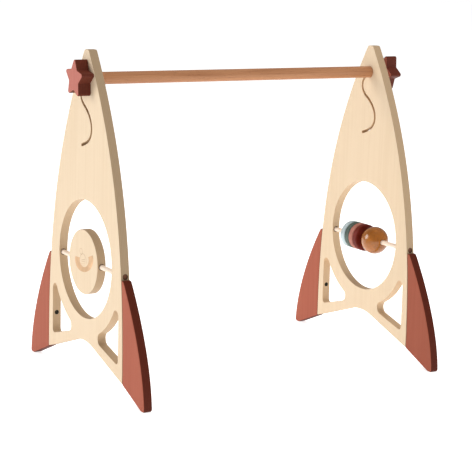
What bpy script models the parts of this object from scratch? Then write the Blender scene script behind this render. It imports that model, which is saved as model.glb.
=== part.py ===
"""Rocket-shaped wooden play gym: two upright panels on four fins, joined by a round bar.

Frame: metres, +Z up, floor at z = 0.  The bar runs along X.  Each panel stands in a YZ plane.
"""
import math

import bmesh
import bpy
from mathutils import Vector

MM = 0.001
GAP = 0.3                      # clearance between neighbouring pieces, all sizes below in mm
ROD_CHAMFER = 0.6

# Overall
HEIGHT = 540.0                 # floor to panel tip
PANEL_T = 15.0                 # plywood thickness
SPAN = 535.0                   # between the panels' inner faces
BAR_Z = 494.0                  # bar centre height
AXLE_Z = 196.5                 # height of the window axles

# Panel outline: half width falls from the foot to the tip by a power law
FOOT_HALF = 138.0
FOOT_Z = 27.0
TIP_HALF = 7.0
TAPER_POWER = 2.53
TAPER_STEPS = 22
TIP_ROUND = 6.0
FOOT_ROUND = 1.2
ARCH_Z = 72.4                  # where the two straight sides of the bottom arch would meet
ARCH_ROUND = 100.0

# Window and the two three-sided cutouts beside it
WINDOW_Z = 202.0
WINDOW_R = 97.0
WINDOW_STEPS = 52
RING_R = 125.0                 # outer edge of the ring of wood left around the window
CUT_SIDE_Y = 122.0
CUT_BOTTOM_Z = 53.0            # height of the cutout's bottom edge at CUT_SIDE_Y
CUT_SLOPE = -0.275
CUT_TOP_ROUND = 8.5
CUT_INNER_ROUND = 10.5
CUT_FOOT_ROUND = 6.0

# S-shaped slot below the bar
SLOT_WIDTH = 4.6
SLOT_ROUTE = [
    (13, 485.5), (19, 476), (19.5, 465), (12.5, 455), (0, 446.5), (-12, 435.5),
    (-19.5, 422), (-19.5, 408.5), (-12, 397.5), (0, 391), (14, 386.5),
]
SLOT_STEPS = 2                 # pieces between two route points

# Fins
FIN_TOP_Z = 192.0
FIN_TOP_FLAT = 6.5
FIN_REACH = 213.0              # outermost point from the middle
FIN_DROP = 74.0                # how much narrower the outer curve is at FIN_CURVE_Z
FIN_CURVE_Z = 190.0
FIN_POWER = 1.69
FIN_STEPS = 10
FIN_JOINT_STEPS = 6
FIN_HEEL_Z = 26.0              # bottom corner against the panel
FIN_SOLE_Y = 201.0             # where the flat sole starts
FIN_TOE_Z = 8.0                # where the outer curve ends above the floor
FIN_CORNER_ROUND = 2.4
FIN_TOE_ROUND = 4.5
FIN_SOLE_ROUND = 6.0
FIN_TOP_SLOPE = 0.6            # drop of the top towards its outer corner
FIN_BEVEL = 2.0

# Bar, inserts, studs and knobs
BAR_R = 10.0
SOCKET_DEPTH = 5.0             # how far the bar sits in each panel
STUD_R = 4.0
STUD_HOLE_R = 4.5
THREAD_PITCH = 1.25
TIGHT_GRIP_TURNS = 12.0        # turns of thread held when a knob is tight
RIGHT_BACKED_OFF_TURNS = 7.5   # the right knob stands unscrewed by this much
INSERT_R = 6.0
INSERT_LENGTH = 18.0
KNOB_T = 22.0
KNOB_STUD_DEPTH = 17.0
KNOB_TIP_R = 34.5
KNOB_NOTCH_R = 18.0
KNOB_TIP_ROUND = 3.6
KNOB_NOTCH_ROUND = 2.0
KNOB_BEVEL = 1.2
LEFT_KNOB_TURN = 4.0           # degrees the star is turned from upright, seen from the left
RIGHT_KNOB_TURN = 26.0

# Axles and what turns on them
AXLE_R = 4.0
AXLE_BORE_R = AXLE_R + GAP
AXLE_BLIND_Y = 117.5           # bottom of the bore on the far side
PLUG_LENGTH = 8.0
PLUG_RECESS = 1.2
SPINNER_R = 53.0
SPINNER_T = 15.0
SPINNER_Y = 5.5
SPINNER_CHAMFER = 1.5
BEAD_BORE_R = 4.5
BEAD_R = 24.0
BEAD_T = 12.2
BEAD_CHAMFER = 2.0
BEAD_STACK_TOP_Y = 48.5        # far face of the stack
BALL_R = 24.3

# Fin fasteners
SCREW_Z = 87.5
SCREW_HEAD_R = 3.8
SCREW_R = 2.0
SCREW_LENGTH = 40.0
SCREW_SINK = 0.6
SCREW_RIM = 0.5                # straight edge of the head
SCREW_CONE_END = 2.6           # depth where the head's cone meets the shank
SCREW_POINT = 5.0
RECESS_R = 1.5
RECESS_DEPTH = 1.6
BREAKOUT = 6.0                 # how far a cutter starts outside the wood
DOWEL_R = 3.0
DOWEL_LENGTH = 24.0
DOWEL_HEIGHTS = {"upper": 160.0, "lower": 45.0}

# Derived places
STANDOFF = RIGHT_BACKED_OFF_TURNS * THREAD_PITCH
MID_X = -STANDOFF / 2          # puts the middle of the whole object at x = 0
SIDES = {"left": -1, "right": 1}
EDGES = {"front": -1, "back": 1}
TURN_X = (0.0, math.pi / 2, 0.0)            # local Z to world +X
TURN_MINUS_X = (0.0, -math.pi / 2, 0.0)     # local Z to world -X
TURN_Y = (-math.pi / 2, 0.0, 0.0)           # local Z to world +Y
TURN_MINUS_Y = (math.pi / 2, 0.0, 0.0)      # local Z to world -Y
PLATE_TURN = (math.pi / 2, 0.0, math.pi / 2)  # local X, Y, Z to world Y, Z, X

# Finishes: colour, roughness, metallic
PLY = ((0.86, 0.69, 0.48), 0.5, 0.0)
BEECH = ((0.50, 0.21, 0.09), 0.5, 0.0)
TERRACOTTA = ((0.42, 0.10, 0.07), 0.5, 0.0)
DARK_WOOD = ((0.05, 0.02, 0.01), 0.6, 0.0)
STEEL = ((0.45, 0.43, 0.40), 0.35, 1.0)
BLACK_STEEL = ((0.06, 0.055, 0.045), 0.5, 1.0)
BRASS = ((0.60, 0.42, 0.16), 0.4, 1.0)
OCHRE = ((0.50, 0.21, 0.03), 0.15, 0.0)
BEADS = {
    "blue_bead": ((0.60, 0.73, 0.76), 0.25, 0.0),
    "green_bead": ((0.10, 0.19, 0.16), 0.25, 0.0),
    "pink_bead": ((0.48, 0.15, 0.12), 0.25, 0.0),
    "red_bead": ((0.12, 0.012, 0.006), 0.25, 0.0),
}


def material(name, colour, roughness, metallic=0.0):
    made = bpy.data.materials.new(name)
    made.use_nodes = True
    shader = made.node_tree.nodes["Principled BSDF"]
    shader.inputs["Base Color"].default_value = (*colour, 1.0)
    shader.inputs["Roughness"].default_value = roughness
    shader.inputs["Metallic"].default_value = metallic
    return made


def place(name, mesh, finish, location, turn=(0.0, 0.0, 0.0)):
    """Add a mesh as a named object, in mm from the frame's origin."""
    piece = bpy.data.objects.new(name, mesh)
    bpy.context.scene.collection.objects.link(piece)
    piece.location = Vector(location) * MM
    piece.rotation_euler = turn
    if finish:
        mesh.materials.append(material(name, *finish))
    return piece


def mesh_from(name, bm, smooth_angle=35.0):
    bmesh.ops.recalc_face_normals(bm, faces=bm.faces)
    mesh = bpy.data.meshes.new(name)
    bm.to_mesh(mesh)
    bm.free()
    mesh.shade_smooth()
    mesh.set_sharp_from_angle(angle=math.radians(smooth_angle))
    return mesh


def add_turned(bm, profile, steps, closed=False):
    """Turn a profile of (radius, height) points in mm about Z; radius 0 makes a pole."""
    rings = []
    for radius, height in profile:
        if radius == 0.0:
            rings.append([bm.verts.new((0.0, 0.0, height * MM))])
            continue
        ring = []
        for step in range(steps):
            angle = 2 * math.pi * step / steps
            ring.append(bm.verts.new((radius * math.cos(angle) * MM,
                                      radius * math.sin(angle) * MM, height * MM)))
        rings.append(ring)
    pairs = list(zip(rings, rings[1:]))
    if closed:
        pairs.append((rings[-1], rings[0]))
    for low, high in pairs:
        for step in range(steps):
            after = (step + 1) % steps
            corners = [low[step % len(low)], low[after % len(low)],
                       high[after % len(high)], high[step % len(high)]]
            unique = list(dict.fromkeys(corners))
            if len(unique) > 2:
                bm.faces.new(unique)
    return [vert for ring in rings for vert in ring]


def turned(name, profile, steps, closed=False):
    bm = bmesh.new()
    add_turned(bm, profile, steps, closed)
    return mesh_from(name, bm)


def arc(centre, radius, start, end, steps):
    """Points along an arc; angles in radians."""
    points = []
    for step in range(steps + 1):
        angle = start + (end - start) * step / steps
        points.append((centre[0] + radius * math.cos(angle),
                       centre[1] + radius * math.sin(angle)))
    return points


def rounded(corners, steps=4):
    """Outline from (y, z, radius) corners; each radius above 0 becomes a tangent arc."""
    outline = []
    for index, (y, z, radius) in enumerate(corners):
        here = Vector((y, z))
        if radius == 0.0:
            outline.append((y, z))
            continue
        before = (Vector(corners[index - 1][:2]) - here).normalized()
        after = (Vector(corners[(index + 1) % len(corners)][:2]) - here).normalized()
        half = before.angle(after) / 2
        centre = here + (before + after).normalized() * (radius / math.sin(half))
        reach = radius / math.tan(half)
        start = here + before * reach - centre
        end = here + after * reach - centre
        first = math.atan2(start.y, start.x)
        sweep = math.atan2(end.y, end.x) - first
        sweep = (sweep + math.pi) % (2 * math.pi) - math.pi
        outline += arc(centre, radius, first, first + sweep, steps)
    return outline


def plate_mesh(name, outlines, thickness, bevel=0.0):
    """Flat plate from closed outlines in mm; inner outlines are holes."""
    curve = bpy.data.curves.new(name, "CURVE")
    curve.dimensions = "2D"
    curve.fill_mode = "BOTH"
    curve.extrude = (thickness / 2 - bevel) * MM
    curve.bevel_depth = bevel * MM
    curve.bevel_resolution = 0
    curve.offset = -bevel * MM
    for outline in outlines:
        spline = curve.splines.new("POLY")
        spline.points.add(len(outline) - 1)
        for point, (across, up) in zip(spline.points, outline):
            point.co = (across * MM, up * MM, 0.0, 1.0)
        spline.use_cyclic_u = True
    drawing = bpy.data.objects.new(name + "_outline", curve)
    filled = bpy.data.meshes.new_from_object(drawing)
    bm = bmesh.new()
    bm.from_mesh(filled)
    bmesh.ops.remove_doubles(bm, verts=bm.verts, dist=1e-6)
    bpy.data.objects.remove(drawing)
    bpy.data.curves.remove(curve)
    bpy.data.meshes.remove(filled)
    return mesh_from(name, bm)


def mirrored(outline):
    return [(-across, up) for across, up in reversed(outline)]


def half_width(z):
    """Half width of a panel at height z."""
    rise = max(z - FOOT_Z, 0.0) / (HEIGHT - FOOT_Z)
    return FOOT_HALF - (FOOT_HALF - TIP_HALF) * rise ** TAPER_POWER


def panel_outline():
    heights = [FOOT_Z + (HEIGHT - FOOT_Z) * step / TAPER_STEPS for step in range(TAPER_STEPS + 1)]
    side = [(half_width(z), z, 0.0) for z in heights]
    side[0] = (FOOT_HALF, FOOT_Z, FOOT_ROUND)
    side[-1] = (TIP_HALF, HEIGHT, TIP_ROUND)
    other = [(-y, z, radius) for y, z, radius in reversed(side)]
    return rounded(side + other + [(0.0, ARCH_Z, ARCH_ROUND)], 5)


def cutout_outline():
    """Three-sided opening between the ring, the leg and the arch, on the +Y side."""
    lean = math.sqrt(1 + CUT_SLOPE ** 2)
    floor_angle = math.atan2(-1.0, CUT_SLOPE) % (2 * math.pi)

    def floor_z(y):
        return CUT_BOTTOM_Z + CUT_SLOPE * (y - CUT_SIDE_Y)

    top_y = CUT_SIDE_Y - CUT_TOP_ROUND
    top_z = WINDOW_Z - math.sqrt((RING_R + CUT_TOP_ROUND) ** 2 - top_y ** 2)
    foot_y = CUT_SIDE_Y - CUT_FOOT_ROUND
    foot_z = floor_z(foot_y) + CUT_FOOT_ROUND * lean
    base = floor_z(0.0) + CUT_INNER_ROUND * lean - WINDOW_Z
    reach = RING_R + CUT_INNER_ROUND
    spread = (CUT_SLOPE * base) ** 2 - lean ** 2 * (base ** 2 - reach ** 2)
    inner_y = (-CUT_SLOPE * base - math.sqrt(spread)) / lean ** 2
    if inner_y < 0:
        inner_y = (-CUT_SLOPE * base + math.sqrt(spread)) / lean ** 2
    inner_z = base + CUT_SLOPE * inner_y + WINDOW_Z

    top_turn = math.atan2(WINDOW_Z - top_z, -top_y)
    inner_turn = math.atan2(WINDOW_Z - inner_z, -inner_y)
    ring_start = top_turn - math.pi
    ring_end = inner_turn - math.pi
    outline = arc((top_y, top_z), CUT_TOP_ROUND, 0.0, top_turn, 5)
    outline += arc((0.0, WINDOW_Z), RING_R, ring_start, ring_end, 8)[1:-1]
    outline += arc((inner_y, inner_z), CUT_INNER_ROUND, inner_turn, floor_angle, 5)
    outline += arc((foot_y, foot_z), CUT_FOOT_ROUND, floor_angle, 2 * math.pi, 5)
    return outline


def slot_outline():
    """Smooth route through the slot's own points, widened to both sides with round ends."""
    route = [Vector(point) for point in SLOT_ROUTE]
    ends = [2 * route[0] - route[1], *route, 2 * route[-1] - route[-2]]
    path = []
    for index in range(1, len(ends) - 2):
        a, b, c, d = ends[index - 1:index + 3]
        for step in range(SLOT_STEPS):
            t = step / SLOT_STEPS
            path.append(0.5 * (2 * b + (c - a) * t + (2 * a - 5 * b + 4 * c - d) * t * t
                               + (3 * b - a - 3 * c + d) * t ** 3))
    path.append(route[-1])
    left, right, headings = [], [], []
    for index, point in enumerate(path):
        along = path[min(index + 1, len(path) - 1)] - path[max(index - 1, 0)]
        side = Vector((-along.y, along.x)).normalized() * SLOT_WIDTH / 2
        left.append(tuple(point + side))
        right.append(tuple(point - side))
        headings.append(math.atan2(along.y, along.x))
    half = SLOT_WIDTH / 2
    quarter = math.pi / 2
    far_end = arc(path[-1], half, headings[-1] - quarter, headings[-1] + quarter, 6)[1:-1]
    near_end = arc(path[0], half, headings[0] + quarter, headings[0] + 3 * quarter, 6)[1:-1]
    return right + far_end + left[::-1] + near_end


def fin_outline(edge):
    """Swept fin on one edge of a panel; edge is -1 in front, +1 at the back."""
    joint = []
    for step in range(FIN_JOINT_STEPS + 1):
        z = FIN_HEEL_Z + (FIN_TOP_Z - FIN_HEEL_Z) * step / FIN_JOINT_STEPS
        at_corner = step in (0, FIN_JOINT_STEPS)
        joint.append((half_width(z) + GAP, z, FIN_CORNER_ROUND if at_corner else 0.0))
    outer = [(joint[-1][0] + FIN_TOP_FLAT, FIN_TOP_Z - FIN_TOP_SLOPE, FIN_CORNER_ROUND)]
    for step in range(1, FIN_STEPS + 1):
        z = FIN_CURVE_Z - (FIN_CURVE_Z - FIN_TOE_Z) * step / FIN_STEPS
        outer.append((FIN_REACH - FIN_DROP * (z / FIN_CURVE_Z) ** FIN_POWER, z, 0.0))
    sole = [(FIN_REACH, 0.0, FIN_TOE_ROUND), (FIN_SOLE_Y, 0.0, FIN_SOLE_ROUND)]
    outline = rounded(joint + outer + sole, 3)
    return outline if edge > 0 else mirrored(outline)


def star_outline(degrees):
    corners = []
    for point in range(5):
        tip = math.radians(90 + degrees + 72 * point)
        notch = tip + math.pi / 5
        corners.append((KNOB_TIP_R * math.cos(tip), KNOB_TIP_R * math.sin(tip), KNOB_TIP_ROUND))
        corners.append((KNOB_NOTCH_R * math.cos(notch), KNOB_NOTCH_R * math.sin(notch),
                        KNOB_NOTCH_ROUND))
    return rounded(corners, 4)


def cutter(name, parts):
    """One wire-drawn cutter from several turned shapes: (profile, steps, location, turn)."""
    bm = bmesh.new()
    for profile, steps, location, turn in parts:
        verts = add_turned(bm, profile, steps)
        rotation = turn_matrix(turn)
        for vert in verts:
            vert.co = rotation @ vert.co + Vector(location) * MM
    piece = place(name, mesh_from(name, bm), None, (0, 0, 0))
    piece.hide_render = True
    piece.display_type = "WIRE"
    return piece


def turn_matrix(turn):
    guide = bpy.data.objects.new("guide", None)
    guide.rotation_euler = turn
    matrix = guide.rotation_euler.to_matrix()
    bpy.data.objects.remove(guide)
    return matrix


def cut(piece, tool):
    change = piece.modifiers.new("bores", "BOOLEAN")
    change.object = tool
    change.operation = "DIFFERENCE"
    change.solver = "EXACT"


def rod_profile(radius, low, high, chamfer=ROD_CHAMFER):
    return [(0.0, low), (radius - chamfer, low), (radius, low + chamfer),
            (radius, high - chamfer), (radius - chamfer, high), (0.0, high)]


def hole_profile(radius, low, high):
    return [(0.0, low), (radius, low), (radius, high), (0.0, high)]


def panel_x(side):
    """Middle of a panel's thickness."""
    return MID_X + side * (SPAN + PANEL_T) / 2


def outward(side):
    return TURN_X if side > 0 else TURN_MINUS_X


def edgeward(edge):
    return TURN_Y if edge > 0 else TURN_MINUS_Y


SCREW_PROFILE = [
    (0.0, RECESS_DEPTH), (RECESS_R, 0.0), (SCREW_HEAD_R, 0.0), (SCREW_HEAD_R, SCREW_RIM),
    (SCREW_R, SCREW_CONE_END), (SCREW_R, SCREW_LENGTH - SCREW_POINT), (0.0, SCREW_LENGTH),
]
SCREW_HOLE = [
    (0.0, -BREAKOUT), (SCREW_HEAD_R + GAP, -BREAKOUT), (SCREW_HEAD_R + GAP, SCREW_RIM + GAP / 2),
    (SCREW_R + GAP, SCREW_CONE_END + GAP), (SCREW_R + GAP, SCREW_LENGTH - SCREW_POINT + GAP / 3),
    (0.0, SCREW_LENGTH + 2 * GAP),
]
DOWEL_HOLE = hole_profile(DOWEL_R + GAP, -GAP - DOWEL_LENGTH / 2, GAP + DOWEL_LENGTH / 2)


def fastener_cuts(x, edge):
    """Screw and dowel holes shared by a panel and its fin."""
    turn = edgeward(edge)
    parts = [(SCREW_HOLE, 16, (x, edge * (CUT_SIDE_Y + SCREW_SINK), SCREW_Z), turn)]
    for z in DOWEL_HEIGHTS.values():
        parts.append((DOWEL_HOLE, 12, (x, edge * half_width(z), z), turn))
    return parts


def build_panel(name, side):
    x = panel_x(side)
    window = arc((0.0, WINDOW_Z), WINDOW_R, 0.0, 2 * math.pi, WINDOW_STEPS)[:-1]
    outlines = [panel_outline(), window, cutout_outline(), mirrored(cutout_outline()),
                slot_outline()]
    panel = place(f"{name}_panel", plate_mesh(f"{name}_panel", outlines, PANEL_T),
                  PLY, (x, 0, 0), PLATE_TURN)
    inner = -PANEL_T / 2
    bar_hole = [(0.0, inner - BREAKOUT), (BAR_R + GAP, inner - BREAKOUT),
                (BAR_R + GAP, inner + SOCKET_DEPTH), (STUD_HOLE_R, inner + SOCKET_DEPTH),
                (STUD_HOLE_R, PANEL_T), (0.0, PANEL_T)]
    parts = [
        (hole_profile(AXLE_BORE_R, -FIN_REACH, AXLE_BLIND_Y), 20, (x, 0, AXLE_Z), TURN_Y),
        (bar_hole, 32, (x, 0, BAR_Z), outward(side)),
    ]
    for edge in EDGES.values():
        parts += fastener_cuts(x, edge)
    cut(panel, cutter(f"{name}_panel_bores", parts))


def build_fin(name, edge_name, side, edge):
    x = panel_x(side)
    label = f"{name}_fin_{edge_name}"
    fin = place(label, plate_mesh(label, [fin_outline(edge)], PANEL_T, FIN_BEVEL),
                TERRACOTTA, (x, 0, 0), PLATE_TURN)
    cut(fin, cutter(label + "_bores", fastener_cuts(x, edge)))


def build_fin_fasteners(name, edge_name, side, edge):
    x = panel_x(side)
    turn = edgeward(edge)
    screw = f"{name}_fin_screw_{edge_name}"
    place(screw, turned(screw, SCREW_PROFILE, 14), BLACK_STEEL,
          (x, edge * (CUT_SIDE_Y + SCREW_SINK), SCREW_Z), turn)
    for level, z in DOWEL_HEIGHTS.items():
        dowel = f"{name}_fin_dowel_{edge_name}_{level}"
        profile = rod_profile(DOWEL_R, -DOWEL_LENGTH / 2, DOWEL_LENGTH / 2)
        place(dowel, turned(dowel, profile, 10), PLY, (x, edge * half_width(z), z), turn)


def build_crossbar():
    half = SPAN / 2 + SOCKET_DEPTH - GAP
    depth = INSERT_LENGTH + 2 * GAP
    hole = INSERT_R + GAP
    rim = BAR_R - ROD_CHAMFER
    profile = [(0.0, depth - half), (hole, depth - half), (hole, -half), (rim, -half),
               (BAR_R, ROD_CHAMFER - half), (BAR_R, half - ROD_CHAMFER), (rim, half),
               (hole, half), (hole, half - depth), (0.0, half - depth)]
    place("crossbar", turned("crossbar", profile, 32), BEECH, (MID_X, 0, BAR_Z), TURN_X)


def build_insert(name, side):
    bar_end = SPAN / 2 + SOCKET_DEPTH - GAP
    bore = STUD_R + GAP
    high = -GAP
    low = high - INSERT_LENGTH
    profile = [(bore, low), (INSERT_R - ROD_CHAMFER, low), (INSERT_R, low + ROD_CHAMFER),
               (INSERT_R, high), (bore, high)]
    label = f"{name}_bar_insert"
    place(label, turned(label, profile, 20, closed=True), BRASS,
          (MID_X + side * bar_end, 0, BAR_Z), outward(side))


def knob_face_x(side):
    """Inner face of a knob; the right one stands off because it is partly unscrewed."""
    standoff = STANDOFF if side > 0 else 0.0
    return MID_X + side * (SPAN / 2 + PANEL_T + GAP + standoff)


def build_stud(name, side):
    """Threaded stud fixed in its knob; local zero is the knob's inner face."""
    grip = TIGHT_GRIP_TURNS * THREAD_PITCH
    reach_in = PANEL_T - SOCKET_DEPTH + 3 * GAP + grip
    profile = rod_profile(STUD_R, -reach_in, KNOB_STUD_DEPTH)
    label = f"{name}_knob_stud"
    place(label, turned(label, profile, 20), STEEL, (knob_face_x(side), 0, BAR_Z),
          outward(side))


def build_knob(name, side, degrees):
    label = f"{name}_star_knob"
    knob = place(label, plate_mesh(label, [star_outline(degrees)], KNOB_T, KNOB_BEVEL),
                 TERRACOTTA, (knob_face_x(side), 0, BAR_Z), PLATE_TURN)
    for vert in knob.data.vertices:
        vert.co.z += side * KNOB_T / 2 * MM
    bore = hole_profile(STUD_R + GAP, -BREAKOUT, KNOB_STUD_DEPTH + GAP)
    cut(knob, cutter(label + "_bore", [(bore, 20, (knob_face_x(side), 0, BAR_Z), outward(side))]))


def build_axle(name, side):
    edge_y = -half_width(AXLE_Z)
    plug_low = edge_y + PLUG_RECESS
    plug_high = plug_low + PLUG_LENGTH
    location = (panel_x(side), 0, AXLE_Z)
    axle = rod_profile(AXLE_R, plug_high + GAP, AXLE_BLIND_Y - GAP)
    place(f"{name}_axle", turned(f"{name}_axle", axle, 20), PLY, location, TURN_Y)
    plug = rod_profile(AXLE_R, plug_low, plug_high)
    place(f"{name}_axle_plug", turned(f"{name}_axle_plug", plug, 20), DARK_WOOD, location, TURN_Y)


def build_spinner():
    x = panel_x(SIDES["left"])
    profile = rod_profile(SPINNER_R, -SPINNER_T / 2, SPINNER_T / 2, SPINNER_CHAMFER)
    disc = place("spinner_disc", turned("spinner_disc", profile, 52), PLY,
                 (x, SPINNER_Y, AXLE_Z), TURN_X)
    bore = hole_profile(BEAD_BORE_R, -WINDOW_R, WINDOW_R)
    cut(disc, cutter("spinner_bore", [(bore, 20, (x, SPINNER_Y, AXLE_Z), TURN_Y)]))


def build_beads():
    x = panel_x(SIDES["right"])
    half = BEAD_T / 2
    rim = BEAD_R - BEAD_CHAMFER
    profile = [(BEAD_BORE_R, -half), (rim, -half), (BEAD_R, BEAD_CHAMFER - half),
               (BEAD_R, half - BEAD_CHAMFER), (rim, half), (BEAD_BORE_R, half)]
    y = BEAD_STACK_TOP_Y - half
    for name, finish in BEADS.items():
        place(name, turned(name, profile, 32, closed=True), finish, (x, y, AXLE_Z), TURN_Y)
        y -= BEAD_T + GAP
    stack_low = y + half
    mouth = math.asin(BEAD_BORE_R / BALL_R)
    ball = [(r, z) for z, r in arc((0.0, 0.0), BALL_R, mouth, math.pi - mouth, 12)]
    half_ball = BALL_R * math.cos(mouth)
    place("ochre_ball", turned("ochre_ball", ball, 32, closed=True), OCHRE,
          (x, stack_low - half_ball, AXLE_Z), TURN_Y)


def build_gym():
    for old in list(bpy.data.objects):
        bpy.data.objects.remove(old, do_unlink=True)
    for name, side in SIDES.items():
        build_panel(name, side)
        for edge_name, edge in EDGES.items():
            build_fin(name, edge_name, side, edge)
            build_fin_fasteners(name, edge_name, side, edge)
        build_insert(name, side)
        build_stud(name, side)
        build_axle(name, side)
    build_knob("left", SIDES["left"], LEFT_KNOB_TURN)
    build_knob("right", SIDES["right"], RIGHT_KNOB_TURN)
    build_crossbar()
    build_spinner()
    build_beads()


build_gym()
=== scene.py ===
"""Looks of the rocket-shaped wooden play gym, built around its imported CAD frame."""
import math

import bmesh
import bpy
from mathutils import Matrix, Vector


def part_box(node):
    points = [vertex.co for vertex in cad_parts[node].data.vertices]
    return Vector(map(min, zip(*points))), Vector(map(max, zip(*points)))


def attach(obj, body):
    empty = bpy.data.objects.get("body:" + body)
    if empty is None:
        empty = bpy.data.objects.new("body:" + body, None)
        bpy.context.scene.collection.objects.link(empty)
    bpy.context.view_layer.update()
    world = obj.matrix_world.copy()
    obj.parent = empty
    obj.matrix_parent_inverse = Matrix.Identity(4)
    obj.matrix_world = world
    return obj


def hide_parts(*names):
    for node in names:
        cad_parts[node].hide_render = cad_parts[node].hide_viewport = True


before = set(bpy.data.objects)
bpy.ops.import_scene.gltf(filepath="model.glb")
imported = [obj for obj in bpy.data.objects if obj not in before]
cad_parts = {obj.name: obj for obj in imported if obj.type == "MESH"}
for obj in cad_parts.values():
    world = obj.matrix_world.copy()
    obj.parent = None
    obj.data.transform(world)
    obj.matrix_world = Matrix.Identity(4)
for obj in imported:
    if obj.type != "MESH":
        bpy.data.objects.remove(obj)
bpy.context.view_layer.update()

MM = 0.001

# Shapes, in mm, that the frame's boxes don't give.  Outlines lie in the panel's plane, (y, z).
FIT = 0.3                        # gap between pieces that touch
BREAKOUT = 6.0                   # how far a cutter starts outside the wood
SHARP_ANGLE = 50.0               # in degrees, edges past it stay crisp

# Panel outline: foot, ogive sides, flat tip and arch
FOOT_Z = 27.0
FOOT_ROUND = 1.2
TIP_HALF = 7.0
TIP_ROUND = 6.0
TAPER_POWER = 2.53
TAPER_STEPS = 60
ARCH_Z = 72.4
ARCH_ROUND = 100.0
PANEL_BEVEL = 0.8

# Panel openings: round window, three-sided cutouts and curved slot
WINDOW_Z = 202.0
WINDOW_R = 97.0
RING_R = 125.0
CUT_SIDE_Y = 122.0
CUT_BOTTOM_Z = 53.0
CUT_SLOPE = -0.275
CUT_TOP_ROUND = 8.5
CUT_INNER_ROUND = 10.5
CUT_FOOT_ROUND = 6.0
SLOT_WIDTH = 4.6
SLOT_ROUTE = [
    (13, 485.5), (19, 476), (19.5, 465), (12.5, 455), (0, 446.5), (-12, 435.5),
    (-19.5, 422), (-19.5, 408.5), (-12, 397.5), (0, 391), (14, 386.5),
]
SLOT_STEPS = 7

# Fins
FIN_REACH = 213.0
FIN_TOP_Z = 192.0
FIN_TOP_FLAT = 6.5
FIN_TOP_SLOPE = 0.6
FIN_CURVE_Z = 190.0
FIN_DROP = 74.0
FIN_POWER = 1.69
FIN_HEEL_Z = 26.0
FIN_TOE_Z = 8.0
FIN_SOLE_Y = 201.0
FIN_CORNER_ROUND = 2.4
FIN_TOE_ROUND = 4.5
FIN_SOLE_ROUND = 6.0
FIN_BEVEL = 2.0
FIN_STEPS = 32
FIN_JOINT_STEPS = 16

# Bar, axles and what turns on them
BAR_ROUND = 1.0
STUD_HOLE_R = 4.5
AXLE_BORE_R = 4.3
AXLE_BLIND_Y = 117.5             # blind end of the bore that starts at the front edge
ROD_ROUND = 0.5
MOUTH_R = 5.2                    # counterbores where an axle enters wood
MOUTH_DEPTH = 5.0
MOUTH_END = WINDOW_R + MOUTH_DEPTH
DISC_ROUND = 1.2
MOTIF_DEPTH = 0.3
BEAD_BORE_R = 4.5
BEAD_ROUND = 2.4
BEAD_BORE_ROUND = 0.5
BALL_LIP = 0.02                  # radians of the ball left off beside its bore
BALL_LIP_DEPTH = 0.6

# Star knobs, turns in degrees, and their studs
KNOB_TIP_R = 34.5
KNOB_NOTCH_R = 18.0
KNOB_TIP_ROUND = 3.6
KNOB_NOTCH_ROUND = 2.0
KNOB_BEVEL = 1.3
KNOB_BORE_R = 4.3
KNOB_BORE_DEPTH = 17.3
KNOB_TURNS = {"left": 4.0, "right": 26.0}
THREAD_PITCH = 1.25
THREAD_DEPTH = 0.65
THREAD_SIDES = 32
THREAD_ROWS_PER_TURN = 8
STUD_TAPER = 1.0
STUD_END_SCALE = 0.8

# Screws and dowel holes between panel and fin
SCREW_Z = 87.5
SCREW_SINK = 0.6
SCREW_LENGTH = 40.0
SCREW_R = 2.0
SCREW_HEAD_R = 3.8
SCREW_HEAD_BEVEL = 0.15
SCREW_RIM = 0.5
SCREW_CONE_END = 2.6
SCREW_POINT = 5.0
SCREW_END_ROOM = 0.7
RECESS_LONG = 5.2
RECESS_WIDE = 1.4
RECESS_DEPTH = 1.6
RECESS_R = 1.5
RECESS_POINT = 1.0
DOWEL_HOLE_R = 3.3
DOWEL_HOLE_HALF = 12.3
DOWEL_HEIGHTS = (160.0, 45.0)

# Looks
FLAT_FACE_WEIGHT = 60
PLY_LAYERS = 11
OUTER_RIM = 4.0                  # closer than this to the outline is the panel's outer edge
CUT_WALL_GAIN = 1.32             # walls of the openings are lighter than the outer edge
# Painted shade: near-black tone painted inside the axle bores and their counterbores, where the
# holes are dim
BORE_SHADE = (0.070, 0.030, 0.016)
BORE_RIM = 0.1                   # how far the bore's painted shade reaches past its wall
KNOT_AT = (-93.0, 286.0, -1.2)
KNOT_R = 2.6
KNOT_TONE = (0.10, 0.05, 0.03)
SHADED_FIN = ("right", "front")  # same stain as the others, painted a little darker as shade because less light reaches it

SIDES = {"left": -1, "right": 1}
EDGES = {"front": -1, "back": 1}
TURN_X = (0.0, math.pi / 2, 0.0)
TURN_MINUS_X = (0.0, -math.pi / 2, 0.0)
TURN_Y = (-math.pi / 2, 0.0, 0.0)
TURN_MINUS_Y = (math.pi / 2, 0.0, 0.0)
PLATE_TURN = (math.pi / 2, 0.0, math.pi / 2)

# Camera: place in metres, directions in degrees
CAMERA_AT = (-1.4014, -2.3242, 0.7128)
CAMERA_YAW = 31.03
CAMERA_PITCH = -9.97
CAMERA_ROLL = 1.444
CAMERA_LENS = 123.37

# Stage: floor's half side in metres, its height in mm, and how bright it and the sky are
FLOOR_HALF = 60.0
FLOOR_Z = -0.5
FLOOR_GLOW = 0.72
WORLD_STRENGTH = 0.29


def middle(name):
    """Middle of a CAD node's box, in mm."""
    low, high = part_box(name)
    return (low + high) / 2 / MM


def size(name):
    """Sides of a CAD node's box, in mm."""
    low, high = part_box(name)
    return (high - low) / MM


AXLE_Z = middle("left_axle").z
BAR_Z = middle("crossbar").z
BAR_R = size("crossbar").z / 2
PANEL_T = size("left_panel").x
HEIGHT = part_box("left_panel")[1].z / MM
FOOT_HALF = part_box("left_panel")[1].y / MM
KNOB_T = size("left_star_knob").x


# ---------------------------------------------------------------- geometry

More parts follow.
